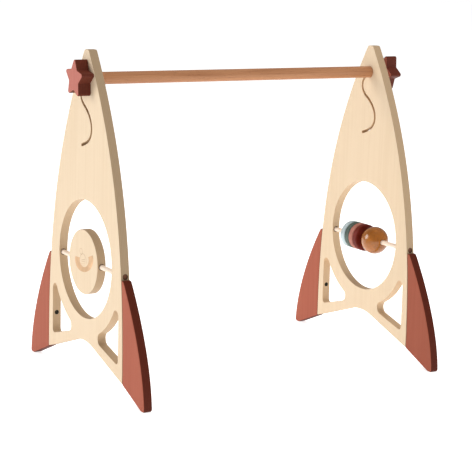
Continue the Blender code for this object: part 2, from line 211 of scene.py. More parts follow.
def place(name, mesh, location=(0, 0, 0), turn=(0.0, 0.0, 0.0)):
    """Put a mesh in the scene at a location in mm."""
    piece = bpy.data.objects.new(name, mesh)
    bpy.context.scene.collection.objects.link(piece)
    piece.location = Vector(location) * MM
    piece.rotation_euler = turn
    return piece


def mesh_from(name, bm, sharp_angle=SHARP_ANGLE):
    """Mesh from a bmesh, outward and shaded smooth up to an angle in degrees."""
    bmesh.ops.recalc_face_normals(bm, faces=bm.faces)
    mesh = bpy.data.meshes.new(name)
    bm.to_mesh(mesh)
    bm.free()
    mesh.shade_smooth()
    mesh.set_sharp_from_angle(angle=math.radians(sharp_angle))
    return mesh


def add_turned(bm, profile, steps, closed=False):
    """Turn a profile of (radius, height) points in mm about Z; radius 0 makes a pole."""
    rings = []
    for radius, height in profile:
        if radius == 0.0:
            rings.append([bm.verts.new((0.0, 0.0, height * MM))])
            continue
        ring = []
        for step in range(steps):
            angle = 2 * math.pi * step / steps
            ring.append(bm.verts.new((radius * math.cos(angle) * MM,
                                      radius * math.sin(angle) * MM, height * MM)))
        rings.append(ring)
    pairs = list(zip(rings, rings[1:]))
    if closed:
        pairs.append((rings[-1], rings[0]))
    for low, high in pairs:
        for step in range(steps):
            after = (step + 1) % steps
            corners = [low[step % len(low)], low[after % len(low)],
                       high[after % len(high)], high[step % len(high)]]
            unique = list(dict.fromkeys(corners))
            if len(unique) > 2:
                bm.faces.new(unique)
    return [vert for ring in rings for vert in ring]


def turned(name, profile, steps, closed=False):
    """Solid of revolution about Z; a closed profile makes a bored one."""
    bm = bmesh.new()
    add_turned(bm, profile, steps, closed)
    return mesh_from(name, bm)


def arc(centre, radius, start, end, steps):
    """Points along an arc; angles in radians."""
    points = []
    for step in range(steps + 1):
        angle = start + (end - start) * step / steps
        points.append((centre[0] + radius * math.cos(angle),
                       centre[1] + radius * math.sin(angle)))
    return points


def rounded(corners, steps=8):
    """Outline from (y, z, radius) corners; each radius above 0 becomes a tangent arc."""
    outline = []
    for index, (y, z, radius) in enumerate(corners):
        here = Vector((y, z))
        if radius == 0.0:
            outline.append((y, z))
            continue
        before = (Vector(corners[index - 1][:2]) - here).normalized()
        after = (Vector(corners[(index + 1) % len(corners)][:2]) - here).normalized()
        half = before.angle(after) / 2
        centre = here + (before + after).normalized() * (radius / math.sin(half))
        reach = radius / math.tan(half)
        start = here + before * reach - centre
        end = here + after * reach - centre
        first = math.atan2(start.y, start.x)
        sweep = math.atan2(end.y, end.x) - first
        sweep = (sweep + math.pi) % (2 * math.pi) - math.pi
        outline += arc(centre, radius, first, first + sweep, steps)
    return outline


def plate_mesh(name, outlines, thickness, bevel=0.0, resolution=3):
    """Flat plate with rounded edges from closed outlines in mm; inner outlines are holes."""
    curve = bpy.data.curves.new(name, "CURVE")
    curve.dimensions = "2D"
    curve.fill_mode = "BOTH"
    curve.extrude = (thickness / 2 - bevel) * MM
    curve.bevel_depth = bevel * MM
    curve.bevel_resolution = resolution
    curve.offset = -bevel * MM
    for outline in outlines:
        spline = curve.splines.new("POLY")
        spline.points.add(len(outline) - 1)
        for point, (across, up) in zip(spline.points, outline):
            point.co = (across * MM, up * MM, 0.0, 1.0)
        spline.use_cyclic_u = True
    drawing = bpy.data.objects.new(name + "_outline", curve)
    filled = bpy.data.meshes.new_from_object(drawing)
    bm = bmesh.new()
    bm.from_mesh(filled)
    bmesh.ops.remove_doubles(bm, verts=bm.verts, dist=1e-6)
    bpy.data.objects.remove(drawing)
    bpy.data.curves.remove(curve)
    bpy.data.meshes.remove(filled)
    return mesh_from(name, bm)


def mirrored(outline):
    return [(-across, up) for across, up in reversed(outline)]


def half_width(z):
    """Half the panel's width at a height: straight at the foot, an ogive up to the tip."""
    rise = max(z - FOOT_Z, 0.0) / (HEIGHT - FOOT_Z)
    return FOOT_HALF - (FOOT_HALF - TIP_HALF) * rise ** TAPER_POWER


def panel_outline():
    """Rocket outline: two tapering sides, a flat tip and a low arch between the feet."""
    rise = (HEIGHT - FOOT_Z) / TAPER_STEPS
    heights = [FOOT_Z + rise * step for step in range(TAPER_STEPS + 1)]
    side = [(half_width(z), z, 0.0) for z in heights]
    side[0] = (FOOT_HALF, FOOT_Z, FOOT_ROUND)
    side[-1] = (TIP_HALF, HEIGHT, TIP_ROUND)
    other = [(-y, z, radius) for y, z, radius in reversed(side)]
    return rounded(side + other + [(0.0, ARCH_Z, ARCH_ROUND)], 10)


def cutout_outline():
    """Three-sided opening between the ring, the leg and the arch, on the +Y side."""
    lean = math.sqrt(1 + CUT_SLOPE ** 2)
    floor_angle = math.atan2(-1.0, CUT_SLOPE) % (2 * math.pi)

    def floor_z(y):
        return CUT_BOTTOM_Z + CUT_SLOPE * (y - CUT_SIDE_Y)

    top_y = CUT_SIDE_Y - CUT_TOP_ROUND
    top_z = WINDOW_Z - math.sqrt((RING_R + CUT_TOP_ROUND) ** 2 - top_y ** 2)
    foot_y = CUT_SIDE_Y - CUT_FOOT_ROUND
    foot_z = floor_z(foot_y) + CUT_FOOT_ROUND * lean
    base = floor_z(0.0) + CUT_INNER_ROUND * lean - WINDOW_Z
    reach = RING_R + CUT_INNER_ROUND
    spread = (CUT_SLOPE * base) ** 2 - lean ** 2 * (base ** 2 - reach ** 2)
    inner_y = (-CUT_SLOPE * base + math.sqrt(spread)) / lean ** 2
    inner_z = base + CUT_SLOPE * inner_y + WINDOW_Z

    top_turn = math.atan2(WINDOW_Z - top_z, -top_y)
    inner_turn = math.atan2(WINDOW_Z - inner_z, -inner_y)
    outline = arc((top_y, top_z), CUT_TOP_ROUND, 0.0, top_turn, 12)
    outline += arc((0.0, WINDOW_Z), RING_R, top_turn - math.pi, inner_turn - math.pi, 24)[1:-1]
    outline += arc((inner_y, inner_z), CUT_INNER_ROUND, inner_turn, floor_angle, 12)
    outline += arc((foot_y, foot_z), CUT_FOOT_ROUND, floor_angle, 2 * math.pi, 10)
    return outline


def slot_outline():
    """Smooth route through the slot's own points, widened to both sides with round ends."""
    route = [Vector(point) for point in SLOT_ROUTE]
    ends = [2 * route[0] - route[1], *route, 2 * route[-1] - route[-2]]
    path = []
    for index in range(1, len(ends) - 2):
        a, b, c, d = ends[index - 1:index + 3]
        for step in range(SLOT_STEPS):
            t = step / SLOT_STEPS
            path.append(0.5 * (2 * b + (c - a) * t + (2 * a - 5 * b + 4 * c - d) * t * t
                               + (3 * b - a - 3 * c + d) * t ** 3))
    path.append(route[-1])
    left, right, headings = [], [], []
    for index, point in enumerate(path):
        along = path[min(index + 1, len(path) - 1)] - path[max(index - 1, 0)]
        side = Vector((-along.y, along.x)).normalized() * SLOT_WIDTH / 2
        left.append(tuple(point + side))
        right.append(tuple(point - side))
        headings.append(math.atan2(along.y, along.x))
    half = SLOT_WIDTH / 2
    quarter = math.pi / 2
    far_end = arc(path[-1], half, headings[-1] - quarter, headings[-1] + quarter, 10)[1:-1]
    near_end = arc(path[0], half, headings[0] + quarter, headings[0] + 3 * quarter, 10)[1:-1]
    return right + far_end + left[::-1] + near_end


def fin_outline(edge):
    """Swept fin on one edge of a panel; edge is -1 in front, +1 at the back."""
    joint = []
    for step in range(FIN_JOINT_STEPS + 1):
        z = FIN_HEEL_Z + (FIN_TOP_Z - FIN_HEEL_Z) * step / FIN_JOINT_STEPS
        at_corner = step in (0, FIN_JOINT_STEPS)
        joint.append((half_width(z) + FIT, z, FIN_CORNER_ROUND if at_corner else 0.0))
    outer = [(joint[-1][0] + FIN_TOP_FLAT, FIN_TOP_Z - FIN_TOP_SLOPE, FIN_CORNER_ROUND)]
    for step in range(1, FIN_STEPS + 1):
        z = FIN_CURVE_Z - (FIN_CURVE_Z - FIN_TOE_Z) * step / FIN_STEPS
        outer.append((FIN_REACH - FIN_DROP * (z / FIN_CURVE_Z) ** FIN_POWER, z, 0.0))
    sole = [(FIN_REACH, 0.0, FIN_TOE_ROUND), (FIN_SOLE_Y, 0.0, FIN_SOLE_ROUND)]
    outline = rounded(joint + outer + sole, 8)
    return outline if edge > 0 else mirrored(outline)


def star_outline(degrees):
    """Five-pointed star with rounded tips and notches, turned by some degrees."""
    corners = []
    for point in range(5):
        tip = math.radians(90 + degrees + 72 * point)
        notch = tip + math.pi / 5
        corners.append((KNOB_TIP_R * math.cos(tip), KNOB_TIP_R * math.sin(tip), KNOB_TIP_ROUND))
        corners.append((KNOB_NOTCH_R * math.cos(notch), KNOB_NOTCH_R * math.sin(notch),
                        KNOB_NOTCH_ROUND))
    return rounded(corners, 10)


def round_rod(radius, low, high, edge, steps=5):
    """Profile of a solid rod with rounded ends."""
    quarter = math.pi / 2
    start = arc((radius - edge, low + edge), edge, -quarter, 0.0, steps)
    end = arc((radius - edge, high - edge), edge, 0.0, quarter, steps)
    return [(0.0, low), *start, *end, (0.0, high)]


def hole_profile(radius, low, high):
    """Profile of a plain round cutter."""
    return [(0.0, low), (radius, low), (radius, high), (0.0, high)]


def mouth_profile():
    """Counterbore where an axle enters wood, with its middle at the surface."""
    return hole_profile(MOUTH_R, -MOUTH_DEPTH, MOUTH_DEPTH)


def turn_matrix(turn):
    """Rotation for XYZ Euler angles."""
    return (Matrix.Rotation(turn[2], 3, "Z") @ Matrix.Rotation(turn[1], 3, "Y")
            @ Matrix.Rotation(turn[0], 3, "X"))


def cut(piece, parts):
    """Cut turned shapes, (profile, steps, location, turn), out of a piece, and apply it."""
    bm = bmesh.new()
    for profile, steps, location, turn in parts:
        rotation = turn_matrix(turn)
        for vert in add_turned(bm, profile, steps):
            vert.co = rotation @ vert.co + Vector(location) * MM
    tool = place("tool", mesh_from("tool", bm))
    subtract(piece, tool)


def subtract(piece, tool):
    """Cut one object out of another, apply the cut and remove the cutter."""
    change = piece.modifiers.new("bores", "BOOLEAN")
    change.object = tool
    change.operation = "DIFFERENCE"
    change.solver = "EXACT"
    bpy.context.view_layer.update()
    graph = bpy.context.evaluated_depsgraph_get()
    cut_mesh = bpy.data.meshes.new_from_object(piece.evaluated_get(graph))
    piece.modifiers.clear()
    piece.data = cut_mesh
    bpy.data.objects.remove(tool)
    cut_mesh.shade_smooth()
    cut_mesh.set_sharp_from_angle(angle=math.radians(SHARP_ANGLE))


def finish_piece(piece, body, cad_node, finish):
    """Steady the shading, give the material, and tie the piece to the frame."""
    steady = piece.modifiers.new("flat faces stay flat", "WEIGHTED_NORMAL")
    steady.keep_sharp = True
    steady.weight = FLAT_FACE_WEIGHT
    piece.data.materials.clear()
    piece.data.materials.append(finish)
    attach(piece, body)
    if cad_node:
        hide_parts(cad_node)


# ---------------------------------------------------------------- materials

def node(tree, kind, inputs=None, **settings):
    """Add a shader node; inputs are sockets to link or values to set."""
    made = tree.nodes.new("ShaderNode" + kind)
    for name, value in settings.items():
        setattr(made, name, value)
    for key, value in (inputs or {}).items():
        if isinstance(value, bpy.types.NodeSocket):
            tree.links.new(value, made.inputs[key])
        else:
            made.inputs[key].default_value = value
    return made


def maths(tree, operation, first, second=0.0, third=0.0):
    """Output of a maths node; each operand is a socket or a number."""
    return node(tree, "Math", {0: first, 1: second, 2: third}, operation=operation).outputs[0]


def ramp(tree, factor, low, high):
    """0 to 1 as factor goes from low to high, smoothly."""
    made = node(tree, "MapRange", {"Value": factor, "From Min": low, "From Max": high},
                interpolation_type="SMOOTHSTEP")
    return made.outputs[0]


def blend(tree, factor, first, second):
    """Mix from the first colour to the second; each is a socket or three values."""
    colours = [value if isinstance(value, bpy.types.NodeSocket) else (*value, 1.0)
               for value in (first, second)]
    made = node(tree, "Mix", data_type="RGBA", inputs={0: factor, 6: colours[0], 7: colours[1]})
    return made.outputs[2]


def noise(tree, at, scale, detail=4.0, roughness=0.5, distortion=0.0, offset=0.0):
    """Noise whose scale may differ along x, y and z, in features per metre."""
    mapped = node(tree, "Mapping", {"Vector": at, "Scale": scale,
                                    "Location": (offset, offset, offset)})
    made = node(tree, "TexNoise", {"Vector": mapped.outputs[0], "Scale": 1.0, "Detail": detail,
                                   "Roughness": roughness, "Distortion": distortion})
    return made.outputs["Fac"]


def blank(name, roughness, coat=0.0, metallic=0.0, specular=0.28):
    """New material with its uniform values set; gives it, its node tree and its shader."""
    made = bpy.data.materials.new(name)
    made.use_nodes = True
    tree = made.node_tree
    shader = tree.nodes["Principled BSDF"]
    shader.inputs["Roughness"].default_value = roughness
    shader.inputs["Coat Weight"].default_value = coat
    shader.inputs["Coat Roughness"].default_value = 0.12
    shader.inputs["Metallic"].default_value = metallic
    shader.inputs["Specular IOR Level"].default_value = specular
    return made, tree, shader


def bump(tree, shader, height, distance, strength):
    """Raise the surface where height is 1, by a distance in metres."""
    made = node(tree, "Bump", {"Height": height, "Distance": distance, "Strength": strength})
    tree.links.new(made.outputs[0], shader.inputs["Normal"])


def stretched(axis, across, along):
    """Noise scale for grain that runs along one axis."""
    scale = [across, across, across]
    scale[axis] = along
    return tuple(scale)


def plywood_edge(tree, at, thickness_at, light, dark, offset):
    """Tone and height of stacked layers on a plate's edges, lighter on walls of openings."""
    layer = maths(tree, "MULTIPLY", thickness_at, PLY_LAYERS / (PANEL_T * MM))
    wave = maths(tree, "SINE", maths(tree, "MULTIPLY", layer, math.pi))
    fibre = noise(tree, at, (70.0, 70.0, 2600.0), 4.0, 0.6, 0.0, offset)
    stack = maths(tree, "MULTIPLY_ADD", fibre, 0.5, maths(tree, "MULTIPLY", wave, 0.3))
    tone = blend(tree, ramp(tree, stack, -0.2, 0.8), dark, light)
    cut_wall = node(tree, "Attribute", attribute_name="cut_wall")
    gain = maths(tree, "MULTIPLY_ADD", cut_wall.outputs["Fac"], CUT_WALL_GAIN - 1.0, 1.0)
    tone = node(tree, "VectorMath", {0: tone, 3: gain}, operation="SCALE").outputs[0]
    return tone, ramp(tree, stack, -0.1, 0.75)


def painted_bore_shade(tree, parts, bore_y, tone):
    """Paint shade on a plate inside its axle bore and the counterbores at the bore's mouths, where
    the holes are dim.
    """
    above = maths(tree, "SUBTRACT", parts.outputs[1], bore_y * MM)
    spread = node(tree, "CombineXYZ", {1: above, 2: parts.outputs[2]})
    away = node(tree, "VectorMath", {0: spread.outputs[0]}, operation="LENGTH")
    near_mouth = ramp(tree, maths(tree, "ABSOLUTE", parts.outputs[0]), MOUTH_END * MM + 0.001,
                      MOUTH_END * MM)
    limit = maths(tree, "MULTIPLY_ADD", near_mouth, (MOUTH_R - BEAD_BORE_R) * MM,
                  (BEAD_BORE_R + BORE_RIM) * MM)
    inside = maths(tree, "LESS_THAN", away.outputs["Value"], limit)
    bored = maths(tree, "LESS_THAN", parts.outputs[0], (AXLE_BLIND_Y + 1.0) * MM)
    return blend(tree, maths(tree, "MULTIPLY", inside, bored), tone, BORE_SHADE)


def knotted_tone(tree, at, knot, tone):
    """Darken a small knot at a place in mm."""
    spot = node(tree, "VectorMath", {0: at, 1: Vector(knot) * MM}, operation="DISTANCE")
    near = ramp(tree, spot.outputs["Value"], KNOT_R * MM, KNOT_R * MM / 3)
    return blend(tree, maths(tree, "MULTIPLY", near, 0.7), tone, KNOT_TONE)


def plate_material(name, face, face_dark, edge, edge_dark, offset=0.0, grain=0.7, roughness=0.5,
                   specular=0.28, bore_y=None, knot=None):
    """Plywood seen through its finish: grain up the faces, stacked layers on the edges.

    Object space: X across, Y up, Z through the thickness.  bore_y is the height of the
    axle's bore, painted dark inside as shade, and knot is a knot's place, all in mm.
    """
    made, tree, shader = blank(name, roughness, specular=specular)
    coords = node(tree, "TexCoord")
    at = coords.outputs["Object"]
    parts = node(tree, "SeparateXYZ", {0: at})
    facing = node(tree, "SeparateXYZ", {0: coords.outputs["Normal"]})
    flat = ramp(tree, maths(tree, "ABSOLUTE", facing.outputs[2]), 0.55, 0.9)

    broad = noise(tree, at, (14.0, 1.6, 14.0), 3.0, 0.5, 0.6, offset)
    lines = noise(tree, at, (190.0, 5.0, 190.0), 6.0, 0.6, 0.35, offset)
    pores = noise(tree, at, (1500.0, 45.0, 1500.0), 2.0, 0.5, 0.0, offset)
    mix = maths(tree, "MULTIPLY_ADD", lines, 0.55, maths(tree, "MULTIPLY", broad, 0.45))
    shade = maths(tree, "MULTIPLY", ramp(tree, mix, 0.38, 0.66), grain)
    face_tone = blend(tree, shade, face, face_dark)
    pore = maths(tree, "MULTIPLY", ramp(tree, pores, 0.62, 0.78), 0.25 * grain)
    face_tone = blend(tree, pore, face_tone, face_dark)

    edge_tone, edge_height = plywood_edge(tree, at, parts.outputs[2], edge, edge_dark, offset)
    tone = blend(tree, flat, edge_tone, face_tone)
    if bore_y is not None:
        # Painted shade inside the axle bore and its counterbores
        tone = painted_bore_shade(tree, parts, bore_y, tone)
    if knot:
        tone = knotted_tone(tree, at, knot, tone)
    tree.links.new(tone, shader.inputs["Base Color"])
    bump(tree, shader, blend(tree, flat, edge_height, lines), 0.00006, 0.4)
    rough = maths(tree, "MULTIPLY_ADD", lines, 0.14, roughness - 0.07)
    tree.links.new(rough, shader.inputs["Roughness"])
    return made


def turned_wood(name, light, dark, axis, offset, roughness=0.45, flecks=0.5):
    """Round stock with its grain along one axis of object space."""
    made, tree, shader = blank(name, roughness)
    at = node(tree, "TexCoord").outputs["Object"]
    broad = noise(tree, at, stretched(axis, 60.0, 2.5), 4.0, 0.55, 1.0, offset)
    lines = noise(tree, at, stretched(axis, 420.0, 7.0), 5.0, 0.6, 0.2, offset)
    fleck = noise(tree, at, stretched(axis, 900.0, 130.0), 2.0, 0.5, 0.0, offset)
    mix = maths(tree, "MULTIPLY_ADD", lines, 0.5, maths(tree, "MULTIPLY", broad, 0.5))
    tone = blend(tree, ramp(tree, mix, 0.36, 0.64), light, dark)
    spot = maths(tree, "MULTIPLY", ramp(tree, fleck, 0.6, 0.72), flecks)
    tone = blend(tree, spot, tone, tuple(0.55 * value for value in dark))
    tree.links.new(tone, shader.inputs["Base Color"])
    bump(tree, shader, lines, 0.0001, 0.45)
    rough = maths(tree, "MULTIPLY_ADD", lines, 0.16, roughness - 0.08)
    tree.links.new(rough, shader.inputs["Roughness"])
    return made


def paint(name, colour, roughness, offset, thin, coat=0.0, specular=0.15):
    """Paint on wood, brushed round local Z; thin is how far the grain shows through."""
    made, tree, shader = blank(name, roughness, coat, specular=specular)
    at = node(tree, "TexCoord").outputs["Object"]
    cloud = noise(tree, at, (40.0, 40.0, 40.0), 3.0, 0.5, 0.3, offset)
    brush = noise(tree, at, (160.0, 160.0, 900.0), 4.0, 0.6, 0.2, offset)
    dark = tuple(0.78 * value for value in colour)
    light = tuple(min(1.0, 1.12 * value + 0.01) for value in colour)
    tone = blend(tree, ramp(tree, cloud, 0.3, 0.7), dark, light)
    grain = noise(tree, at, (700.0, 30.0, 700.0), 4.0, 0.6, 0.1, offset)
    tone = blend(tree, maths(tree, "MULTIPLY", ramp(tree, grain, 0.5, 0.75), thin), tone,
                 tuple(0.45 * value for value in colour))
    tree.links.new(tone, shader.inputs["Base Color"])
    bump(tree, shader, brush, 0.00006, 0.5)
    rough = maths(tree, "MULTIPLY_ADD", brush, 0.12, roughness - 0.06)
    tree.links.new(rough, shader.inputs["Roughness"])
    return made


def metal(name, colour, roughness, offset):
    """Plated or turned metal with fine scratches round local Z."""
    made, tree, shader = blank(name, roughness, metallic=1.0)
    at = node(tree, "TexCoord").outputs["Object"]
    cloud = noise(tree, at, (500.0, 500.0, 500.0), 4.0, 0.6, 0.0, offset)
    scratch = noise(tree, at, (4000.0, 4000.0, 300.0), 3.0, 0.6, 0.0, offset)
    tone = blend(tree, ramp(tree, cloud, 0.35, 0.7), colour, tuple(0.6 * v for v in colour))
    tree.links.new(tone, shader.inputs["Base Color"])
    rough = maths(tree, "MULTIPLY_ADD", scratch, 0.25, roughness - 0.12)
    tree.links.new(rough, shader.inputs["Roughness"])
    bump(tree, shader, scratch, 0.00003, 0.4)
    return made


# ---------------------------------------------------------------- pieces

def panel_x(name):
    return middle(name + "_panel").x


def outward(side):
    """Turns local Z away from the middle of the gym, along X."""
    return TURN_X if side > 0 else TURN_MINUS_X


def edgeward(edge):
    """Turns local Z towards a panel's front or back edge, along Y."""
    return TURN_Y if edge > 0 else TURN_MINUS_Y


def fastener_cuts(x, edge):
    """Screw and dowel holes shared by a panel and its fin."""
    turn = edgeward(edge)
    head = SCREW_HEAD_R + FIT
    shank = SCREW_R + FIT
    screw = [(0.0, -BREAKOUT), (head, -BREAKOUT), (head, SCREW_RIM + FIT / 2),
             (shank, SCREW_CONE_END + FIT), (shank, SCREW_LENGTH - SCREW_POINT + FIT / 3),
             (0.0, SCREW_LENGTH + SCREW_END_ROOM)]
    parts = [(screw, 40, (x, edge * (CUT_SIDE_Y + SCREW_SINK), SCREW_Z), turn)]
    dowel = hole_profile(DOWEL_HOLE_R, -DOWEL_HOLE_HALF, DOWEL_HOLE_HALF)
    for z in DOWEL_HEIGHTS:
        parts.append((dowel, 20, (x, edge * half_width(z), z), turn))
    return parts


def mark_cut_walls(mesh):
    """Vertex attribute that is 1 away from the panel's outer edge, on walls of its openings."""
    marks = mesh.attributes.new("cut_wall", "FLOAT", "POINT")
    for vert, mark in zip(mesh.vertices, marks.data):
        margin = half_width(vert.co.y / MM) - abs(vert.co.x) / MM
        mark.value = 1.0 if margin > OUTER_RIM else 0.0


def bar_hole_profile(x):
    """Socket for the bar's end, then the stud's hole through to the outer face."""
    inner = -PANEL_T / 2 - BREAKOUT
    seat = size("crossbar").x / 2 + FIT - abs(x - middle("crossbar").x)
    socket = BAR_R + FIT
    return [(0.0, inner), (socket, inner), (socket, seat), (STUD_HOLE_R, seat),
            (STUD_HOLE_R, PANEL_T), (0.0, PANEL_T)]


def build_panel(name, side, finish):
    x = panel_x(name)
    window = arc((0.0, WINDOW_Z), WINDOW_R, 0.0, 2 * math.pi, 144)[:-1]
    outlines = [panel_outline(), window, cutout_outline(), mirrored(cutout_outline()),
                slot_outline()]
    label = name + "_panel_shaped"
    panel = place(label, plate_mesh(label, outlines, PANEL_T, PANEL_BEVEL), (x, 0, 0), PLATE_TURN)
    parts = [
        (hole_profile(AXLE_BORE_R, -FIN_REACH, AXLE_BLIND_Y), 48, (x, 0, AXLE_Z), TURN_Y),
        (bar_hole_profile(x), 64, (x, 0, BAR_Z), outward(side)),
    ]
    open_half = math.sqrt(WINDOW_R ** 2 - (WINDOW_Z - AXLE_Z) ** 2)
    for edge in EDGES.values():
        parts += fastener_cuts(x, edge)
        parts.append((mouth_profile(), 48, (x, edge * open_half, AXLE_Z), TURN_Y))
    cut(panel, parts)
    mark_cut_walls(panel.data)
    finish_piece(panel, "frame", name + "_panel", finish)


def build_fin(name, edge_name, edge, finish):
    x = panel_x(name)
    label = f"{name}_fin_{edge_name}"
    fin = place(label + "_shaped", plate_mesh(label, [fin_outline(edge)], PANEL_T, FIN_BEVEL, 5),
                (x, 0, 0), PLATE_TURN)
    cut(fin, fastener_cuts(x, edge))
    finish_piece(fin, "frame", label, finish)


def cross_mesh():
    """Two crossed blocks that cut a screw's cross recess."""
    bm = bmesh.new()
    for wide, narrow in ((RECESS_LONG, RECESS_WIDE), (RECESS_WIDE, RECESS_LONG)):
        for vert in bmesh.ops.create_cube(bm, size=MM)["verts"]:
            vert.co = Vector((vert.co.x * wide, vert.co.y * narrow, vert.co.z * 2 * RECESS_DEPTH))
    return mesh_from("cross", bm)


def build_screw(name, edge_name, edge, finish):
    """Countersunk screw with a cross recess around a round core."""
    profile = [(0.0, 0.0), (SCREW_HEAD_R - SCREW_HEAD_BEVEL, 0.0),
               (SCREW_HEAD_R, SCREW_HEAD_BEVEL), (SCREW_HEAD_R, SCREW_RIM),
               (SCREW_R, SCREW_CONE_END), (SCREW_R, SCREW_LENGTH - SCREW_POINT),
               (0.0, SCREW_LENGTH)]
    core_profile = [(0.0, -RECESS_POINT), (RECESS_R, -RECESS_POINT), (RECESS_R, RECESS_DEPTH),
                    (0.0, RECESS_DEPTH + RECESS_POINT)]
    label = f"{name}_fin_screw_{edge_name}"
    at = (panel_x(name), edge * (CUT_SIDE_Y + SCREW_SINK), SCREW_Z)
    turn = edgeward(edge)
    screw = place(label + "_shaped", turned(label, profile, 40), at, turn)
    subtract(screw, place("core", turned("core", core_profile, 20), at, turn))
    subtract(screw, place("cross", cross_mesh(), at, turn))
    finish_piece(screw, "frame", label, finish)


def build_crossbar(finish):
    """Round bar with a blind bore for the threaded insert in each end."""
    half = size("crossbar").x / 2
    depth = size("left_bar_insert").x + 2 * FIT
    hole = size("left_bar_insert").z / 2 + FIT
    quarter = math.pi / 2
    rim = BAR_R - BAR_ROUND
    low_rim = arc((rim, BAR_ROUND - half), BAR_ROUND, -quarter, 0.0, 5)
    high_rim = arc((rim, half - BAR_ROUND), BAR_ROUND, 0.0, quarter, 5)
    profile = [(0.0, depth - half), (hole, depth - half), (hole, -half), *low_rim, *high_rim,
               (hole, half), (hole, half - depth), (0.0, half - depth)]
    bar = place("crossbar_turned", turned("crossbar", profile, 96), middle("crossbar"), TURN_X)
    finish_piece(bar, "frame", "crossbar", finish)


def build_knob(name, side, degrees, finish):
    label = name + "_star_knob"
    low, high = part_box(label)
    face_x = (high.x if side < 0 else low.x) / MM
    mesh = plate_mesh(label, [star_outline(degrees)], KNOB_T, KNOB_BEVEL, 5)
    for vert in mesh.vertices:
        vert.co.z += side * KNOB_T / 2 * MM
    knob = place(label + "_shaped", mesh, (face_x, 0, BAR_Z), PLATE_TURN)
    bore = hole_profile(KNOB_BORE_R, -BREAKOUT, KNOB_BORE_DEPTH)
    cut(knob, [(bore, 48, (face_x, 0, BAR_Z), outward(side))])
    finish_piece(knob, name + "_knob", label, finish)


def threaded(length, radius, name):
    """Rod along Z with a helical thread: its radius follows height minus turn."""
    rows = int(length / THREAD_PITCH * THREAD_ROWS_PER_TURN)
    bm = bmesh.new()
    rings = []
    for row in range(rows + 1):
        z = length * row / rows
        taper = min(1.0, z / STUD_TAPER, (length - z) / STUD_TAPER)
        scale = STUD_END_SCALE + (1.0 - STUD_END_SCALE) * taper
        ring = []
        for step in range(THREAD_SIDES):
            turn = step / THREAD_SIDES
            wave = abs(((z / THREAD_PITCH - turn) % 1.0) * 2 - 1)
            r = (radius - THREAD_DEPTH * wave) * scale
            angle = 2 * math.pi * turn
            ring.append(bm.verts.new((r * math.cos(angle) * MM, r * math.sin(angle) * MM, z * MM)))
        rings.append(ring)
    for lower, upper in zip(rings, rings[1:]):
        for step in range(THREAD_SIDES):
            after = (step + 1) % THREAD_SIDES
            bm.faces.new((lower[step], lower[after], upper[after], upper[step]))
    bm.faces.new(rings[0])
    bm.faces.new(rings[-1])
    return mesh_from(name, bm, 70.0)


def build_stud(name, side, finish):
    label = name + "_knob_stud"
    low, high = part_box(label)
    start = (low.x if side > 0 else high.x) / MM
    mesh = threaded(size(label).x, size(label).z / 2, label)
    stud = place(label + "_threaded", mesh, (start, 0, BAR_Z), outward(side))
    finish_piece(stud, name + "_stud", label, finish)


def build_rod(label, body, finish):
    """Round rod along Y that fills a CAD node's box."""
    low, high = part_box(label)
    at = middle(label)
    profile = round_rod(size(label).z / 2, low.y / MM, high.y / MM, ROD_ROUND)
    rod = place(label + "_turned", turned(label, profile, 48), (at.x, 0, at.z), TURN_Y)
    finish_piece(rod, body, label, finish)


def build_spinner(finish, motif_finish, line_finish):
    """Plywood disc; local X runs down, Y along the axle and Z through the thickness."""
    at = middle("spinner_disc")
    radius = size("spinner_disc").y / 2
    half = size("spinner_disc").x / 2
    mesh = turned("spinner_disc", round_rod(radius, -half, half, DISC_ROUND), 144)
    mesh.transform(Matrix.Rotation(-math.pi / 2, 4, "Z"))
    disc = place("spinner_disc_turned", mesh, at, PLATE_TURN)
    parts = [(hole_profile(BEAD_BORE_R, -WINDOW_R, WINDOW_R), 48, at, TURN_Y)]
    for edge in EDGES.values():
        rim = (at.x, at.y + edge * radius, at.z)
        parts.append((mouth_profile(), 48, rim, TURN_Y))
    cut(disc, parts)
    for side in (-1, 1):
        for index, outline in enumerate(motif_outlines()):
            plate = plate_mesh("recess", [outline], 2 * MOTIF_DEPTH)
            recess = place("recess", plate, (at.x + side * half, at.y, at.z), PLATE_TURN)
            subtract(disc, recess)
            name = f"spinner_motif_{'front' if side < 0 else 'back'}_{index}"
            inlay = place(name, plate_mesh(name, [outline], MOTIF_DEPTH / 2),
                          (at.x + side * (half - MOTIF_DEPTH / 2), at.y, at.z), PLATE_TURN)
            tone = motif_finish if index == 0 else line_finish
            finish_piece(inlay, "spinner", None, tone)
    finish_piece(disc, "spinner", "spinner_disc", finish)


def band(centre, outer, inner, degrees, first, last, steps=48):
    """Part of an elliptical ring, from angle first to angle last in degrees."""
    outline = []
    for radii, angles in ((outer, range(steps + 1)), (inner, range(steps, -1, -1))):
        for step in angles:
            angle = math.radians(first + (last - first) * step / steps)
            outline.append((radii[0] * math.cos(angle), radii[1] * math.sin(angle)))
    lean = math.radians(degrees)
    return [(centre[0] + y * math.cos(lean) - z * math.sin(lean),
             centre[1] + y * math.sin(lean) + z * math.cos(lean)) for y, z in outline]


def motif_outlines():
    """A plain ringed planet with a small moon, drawn in (y, z) mm about the disc's middle."""
    ring = band((-3.5, 4.6), (34.5, 20.5), (17.0, 12.5), -13.0, 166.0, 380.0)
    body = band((0.5, 1.0), (12.5, 12.5), (11.5, 11.5), 0.0, -10.0, 190.0)
    moon = band((8.0, 16.0), (5.6, 5.6), (4.6, 4.6), 0.0, 0.0, 358.0)
    stripes = [band((0.5, z), (9.0, 1.4), (8.6, 0.5), -13.0, 20.0, 160.0)
               for z in (-6.5, -3.5, -0.5, 2.5)]
    return [ring, body, moon, *stripes]


